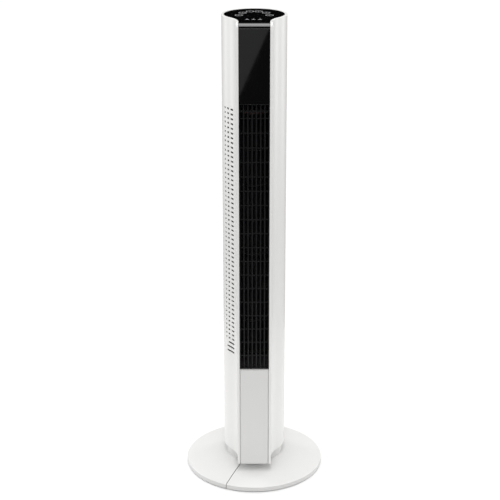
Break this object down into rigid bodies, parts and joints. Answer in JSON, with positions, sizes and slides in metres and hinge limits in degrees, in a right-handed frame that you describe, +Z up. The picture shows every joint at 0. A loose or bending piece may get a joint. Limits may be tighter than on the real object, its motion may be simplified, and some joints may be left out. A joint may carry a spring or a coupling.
{
  "type": "tower fan",
  "caption": "Tall oscillating tower fan: slim round column with a square nose, touch panel, display window and outlet grille, on a round domed base.",
  "frame": {"origin": "on the floor, on the swing axis of the column, which is also the middle of the round base", "axes": "+Z up along the column; -Y is the front, where the grille and the display window face; +X is to the right of someone facing the fan"},
  "size_m": [0.32, 0.32, 1.074],
  "materials": {
    "black_grille": "black moulding",
    "black_panel": "glossy black panel",
    "black_part": "unpainted black moulding",
    "black_window": "glossy black window",
    "black_wire": "bundled insulated wires",
    "bronze": "sintered bronze",
    "brown_plastic": "dark red-brown moulding",
    "circuit_board": "green circuit board",
    "copper": "enamelled copper windings",
    "green_block": "green plastic body",
    "grey_frame": "unpainted grey moulding",
    "grey_gland": "soft grey bush",
    "grey_white_cover": "satin pale grey-white moulding",
    "laminations": "stacked steel sheets",
    "motor_steel": "galvanised can",
    "nylon": "natural nylon",
    "rubber": "black rubber",
    "screw_steel": "plated screws",
    "shaft_steel": "ground steel",
    "spring_steel": "sprung wire coils",
    "steel": "zinc-plated sheet",
    "wheel_plastic": "dark moulded wheel",
    "white_base": "glossy white moulding",
    "white_collar": "satin white moulding",
    "white_part": "white plastic body",
    "white_shell": "glossy white moulding"
  },
  "bodies": {
    "base": {"base_left": "white_base", "base_right": "white_base", "base_plate": "steel", "base_screws": "screw_steel", "base_feet": "rubber", "cord_gland": "grey_gland", "collar": "white_collar", "slide_ring": "nylon", "pivot_post": "steel", "sun_gear": "nylon", "post_clip": "screw_steel"},
    "column": {"swivel_plate": "grey_frame", "left_casing": "white_shell", "right_casing": "white_shell", "rear_shell": "white_shell", "shell_screws": "screw_steel", "nose_rails": "white_shell", "grille": "black_grille", "front_cover": "grey_white_cover", "display_lens": "black_window", "touch_panel": "black_panel", "motor_deck": "black_part", "top_deck": "black_part", "scroll_wall": "black_part", "vortex_wall": "black_part", "bearing_rubber": "rubber", "top_bearing": "bronze", "motor_housing": "motor_steel", "motor_stator": "laminations", "motor_coils": "copper", "motor_mounts": "rubber", "drive_motor": "motor_steel", "drive_bracket": "grey_frame", "power_board": "circuit_board", "capacitor": "white_part", "transformer": "brown_plastic", "terminal_block": "green_block", "control_tray": "grey_frame", "control_board": "circuit_board", "touch_springs": "spring_steel", "indicator_lights": "white_part", "buzzer": "black_part", "display_board": "circuit_board", "display_digits": "black_part", "remote_eye": "black_part", "harness": "black_wire"},
    "blower": {"rotor": "shaft_steel", "wheel_hub": "rubber", "wheel": "wheel_plastic", "wheel_cap": "brown_plastic"},
    "swing_pinion": {"pinion": "nylon"}
  },
  "joints": [
    {"name": "column_swing", "type": "hinge", "parent": "base", "child": "column", "pos_m": [0, 0, 0.0517], "axis": [0, 0, 1], "range_deg": [-64, 16]},
    {"name": "wheel_spin", "type": "hinge", "parent": "column", "child": "blower", "pos_m": [0, 0, 0.6], "axis": [0, 0, 1], "continuous": true},
    {"name": "pinion_spin", "type": "hinge", "parent": "column", "child": "swing_pinion", "pos_m": [0, 0.0402, 0.05], "axis": [0, 0, 1], "range_deg": [-194, 50]}
  ],
  "couplings": [
    {"joint": "pinion_spin", "follows": "column_swing", "ratio": 3}
  ]
}
